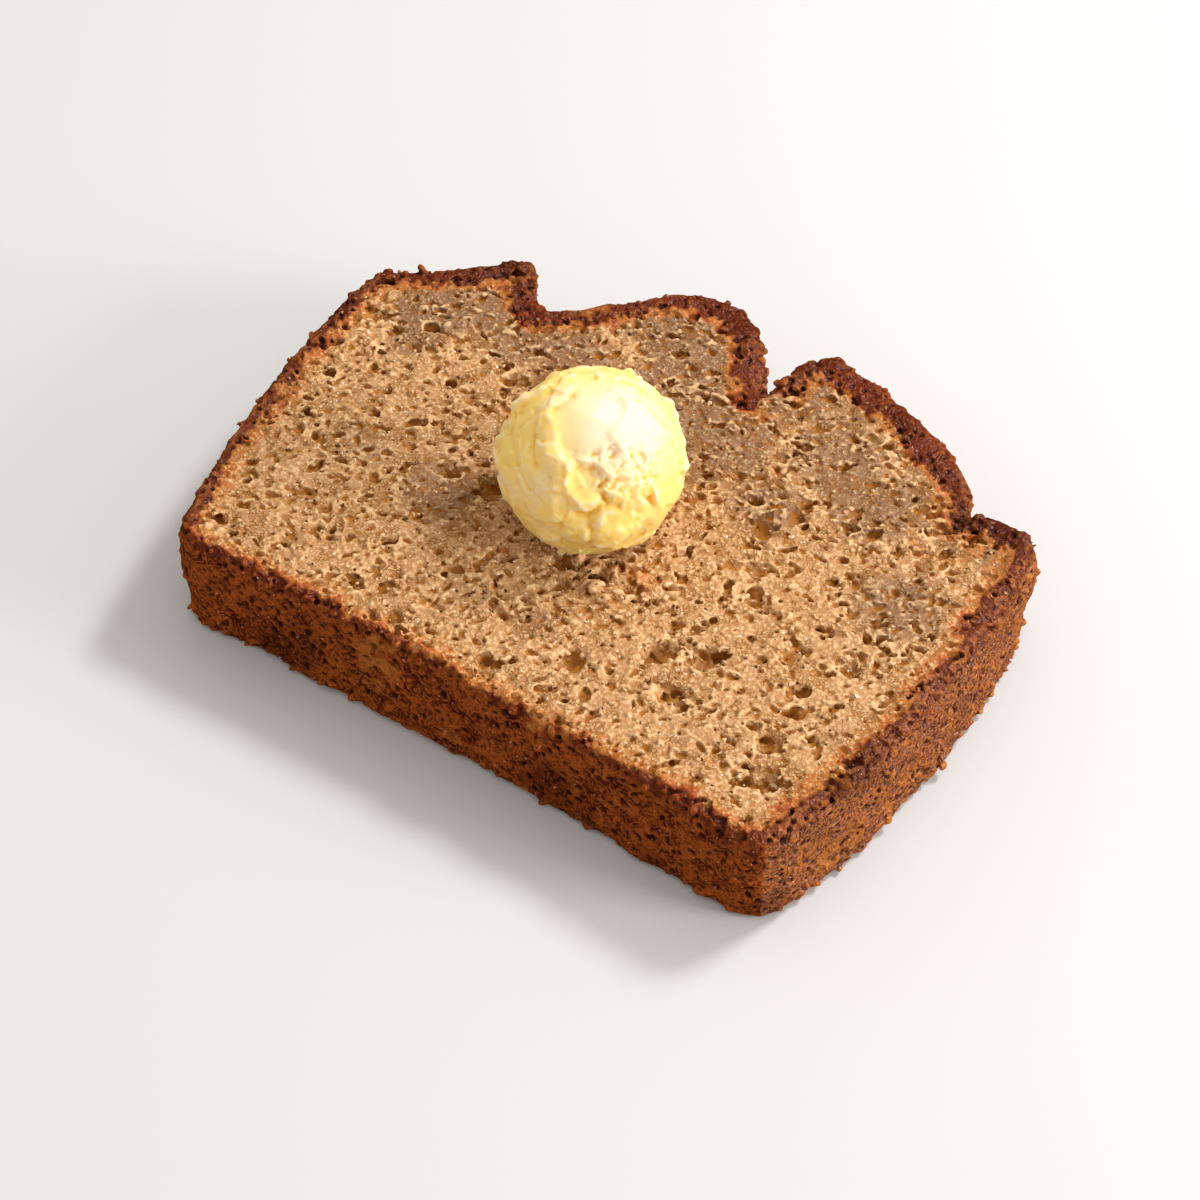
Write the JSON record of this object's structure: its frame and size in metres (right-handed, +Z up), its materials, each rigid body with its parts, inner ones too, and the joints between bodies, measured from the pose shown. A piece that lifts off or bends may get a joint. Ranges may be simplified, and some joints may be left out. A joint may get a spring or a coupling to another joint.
{
  "type": "slice of banana bread with butter",
  "caption": "Thick slice of banana bread with a browned crust and a split, risen top, lying on a cut side with a ball of butter on the other.",
  "frame": {"origin": "on the flat underside, below the middle of the part's bounding box", "axes": "+X along the edge that sat on the tin's floor, +Y towards the risen, split top of the loaf, +Z up through the slice's thickness"},
  "size_m": [0.1194, 0.0882, 0.0423],
  "materials": {
    "bread": "porous tan crumb with a dark red-brown crust",
    "butter": "smooth, softly waxy pale yellow butter"
  },
  "bodies": {
    "root": {"bread_slice": "bread", "butter_ball": "butter"}
  },
  "joints": []
}
